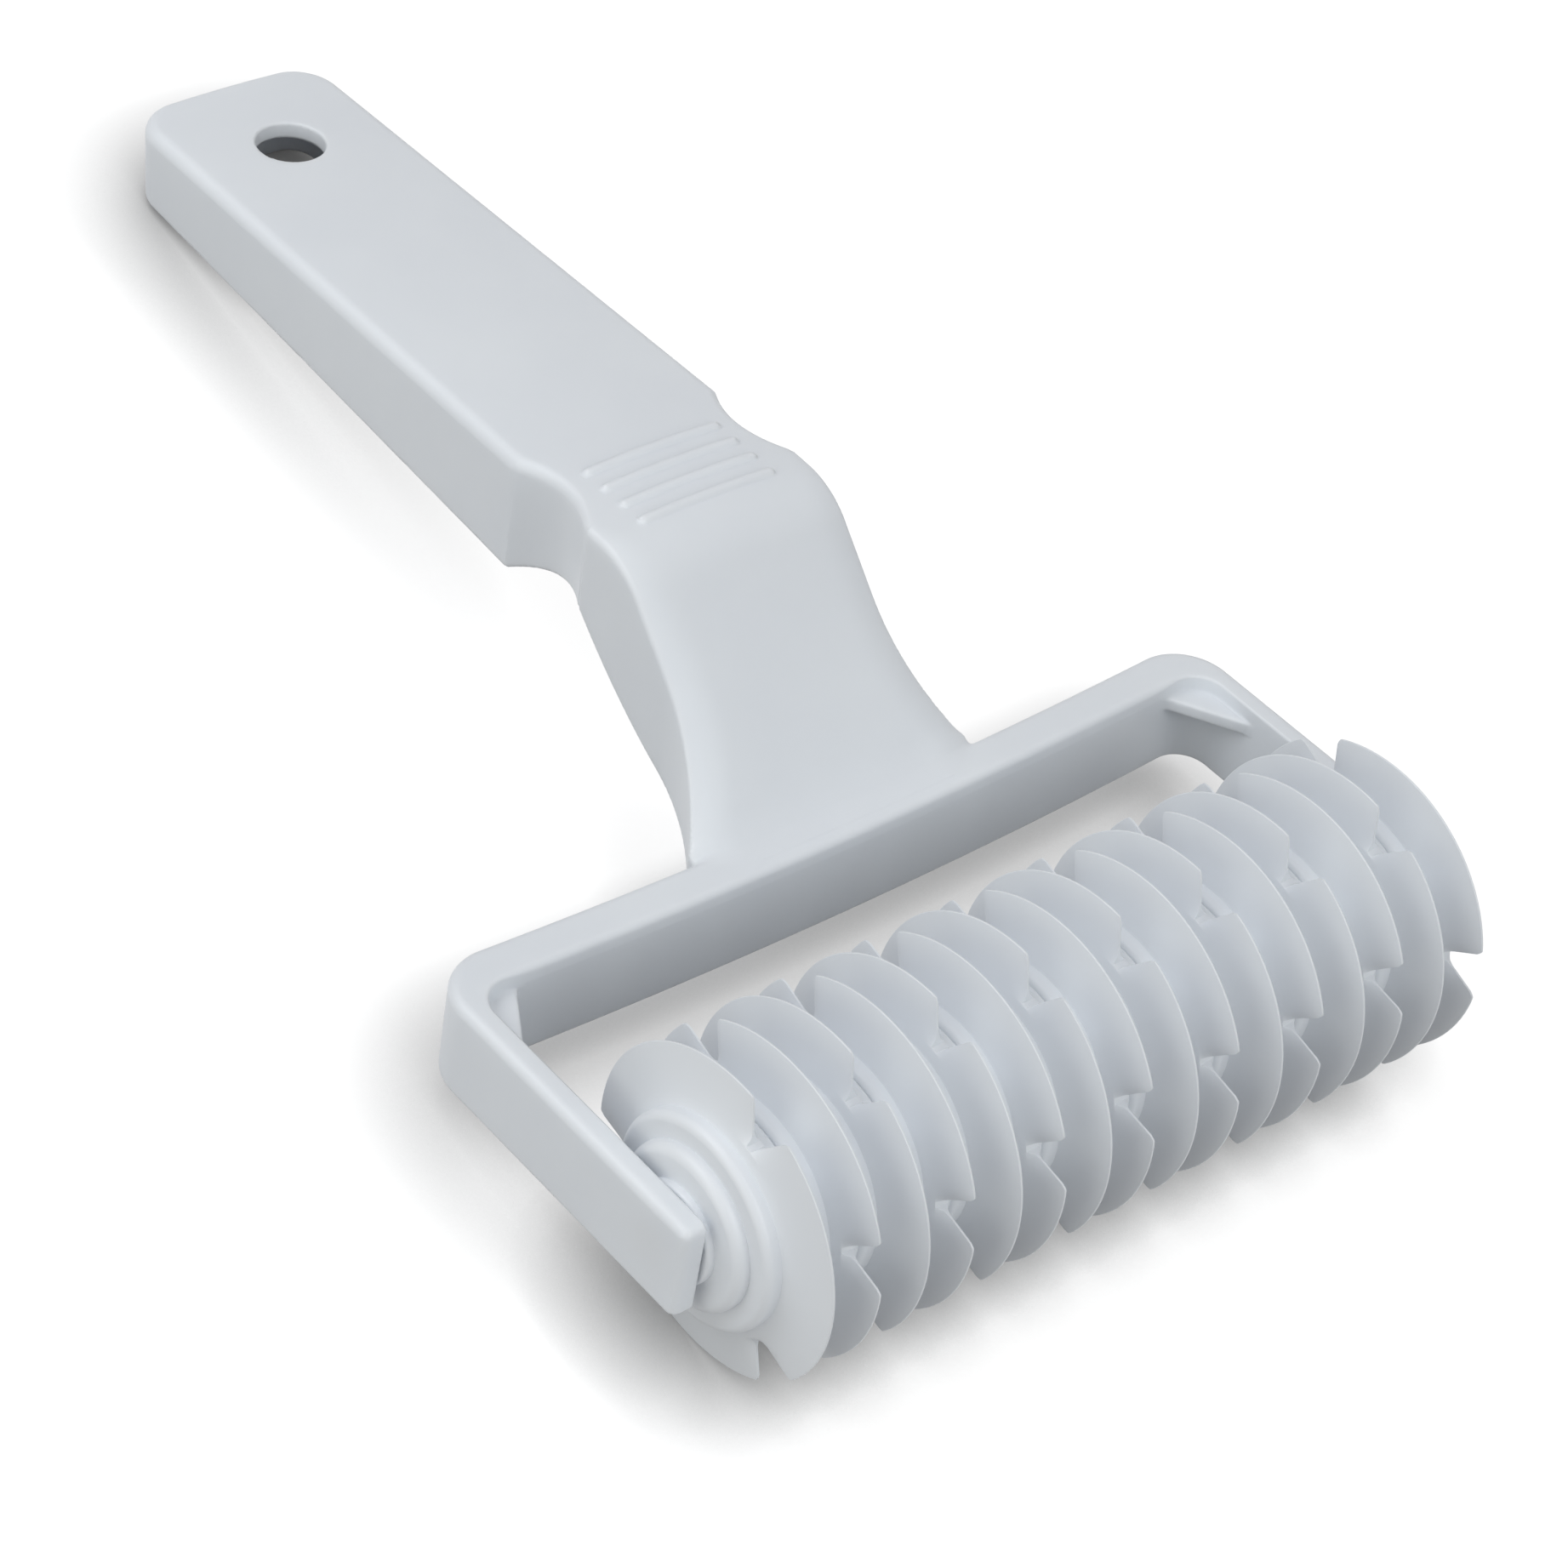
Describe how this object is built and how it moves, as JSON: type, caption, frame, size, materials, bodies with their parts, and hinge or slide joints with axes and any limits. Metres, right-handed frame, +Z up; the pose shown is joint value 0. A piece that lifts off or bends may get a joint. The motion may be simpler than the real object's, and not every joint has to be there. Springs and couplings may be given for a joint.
{
  "type": "lattice roller cutter",
  "caption": "Hand-held pastry lattice cutter: a one-piece moulded handle with a forked yoke that carries a turning roller of notched cutting discs.",
  "frame": {"origin": "on the table, under the middle of the tool's bounding box, with the tool standing on its roller and the tail of its handle", "axes": "+X along the roller, +Y from the roller toward the handle, +Z up from the table"},
  "size_m": [0.1256, 0.2056, 0.042],
  "materials": {
    "frame_plastic": "satin",
    "disc_plastic": "satin",
    "axle_plastic": "satin"
  },
  "bodies": {
    "frame": {"handle_frame": "frame_plastic"},
    "roller": {"axle": "axle_plastic", "end_collar_left": "disc_plastic", "end_collar_right": "disc_plastic", "cutter_disc_01": "disc_plastic", "cutter_disc_02": "disc_plastic", "cutter_disc_03": "disc_plastic", "cutter_disc_04": "disc_plastic", "cutter_disc_05": "disc_plastic", "cutter_disc_06": "disc_plastic", "cutter_disc_07": "disc_plastic", "cutter_disc_08": "disc_plastic", "cutter_disc_09": "disc_plastic", "cutter_disc_10": "disc_plastic", "cutter_disc_11": "disc_plastic", "cutter_disc_12": "disc_plastic", "cutter_disc_13": "disc_plastic", "cutter_disc_14": "disc_plastic", "cutter_disc_15": "disc_plastic", "cutter_disc_16": "disc_plastic"}
  },
  "joints": [
    {"name": "roller_spin", "type": "hinge", "parent": "frame", "child": "roller", "pos_m": [0, -0.08181, 0.021], "axis": [1, 0, 0], "continuous": true}
  ]
}
